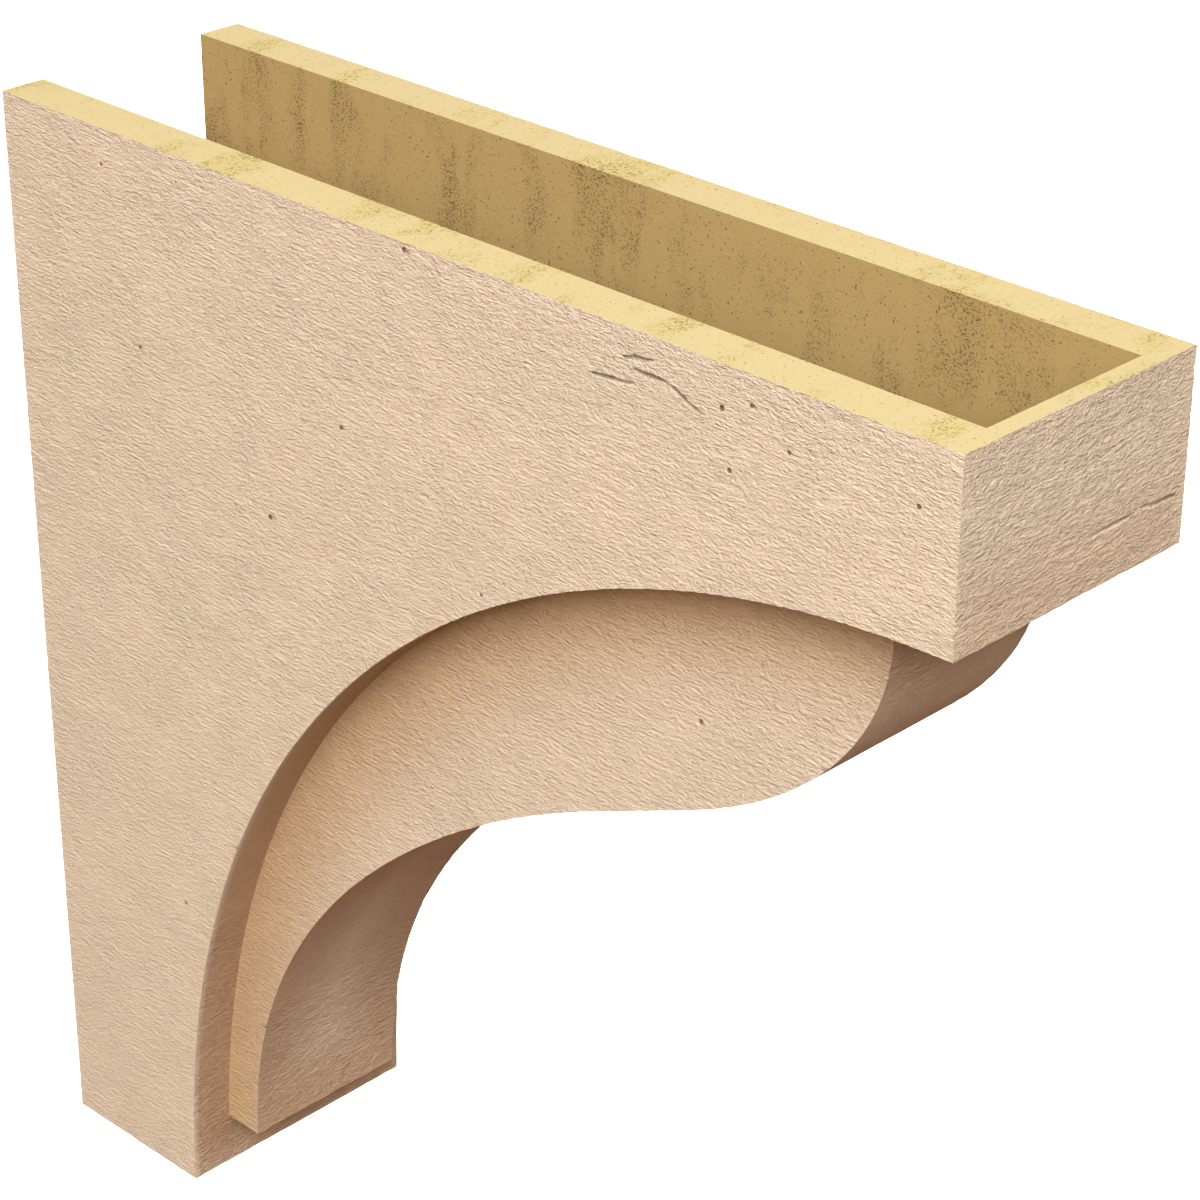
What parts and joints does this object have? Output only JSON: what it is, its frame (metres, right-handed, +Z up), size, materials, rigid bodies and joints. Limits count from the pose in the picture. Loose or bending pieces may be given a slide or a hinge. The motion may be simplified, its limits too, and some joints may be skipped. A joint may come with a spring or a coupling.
{
  "type": "hollow wall corbel",
  "caption": "Hollow wall corbel of moulded foam with arched cheeks and a round-nosed body, open on top and at the back, finished like rough-sawn timber.",
  "frame": {"origin": "on the back rim, at the middle of the strip under the open back, half an inch above the underside, where the corbel bears on the wall", "axes": "+X out from the wall towards the front fascia, +Y across the corbel, +Z up; the corbel is the same on both sides of the XZ plane"},
  "size_m": [0.6096, 0.1524, 0.6096],
  "materials": {
    "primed_skin": "primed rigid foam, moulded like rough-sawn timber, with bare yellow foam on the open rim and inside"
  },
  "bodies": {
    "root": {"corbel": "primed_skin"}
  },
  "joints": []
}
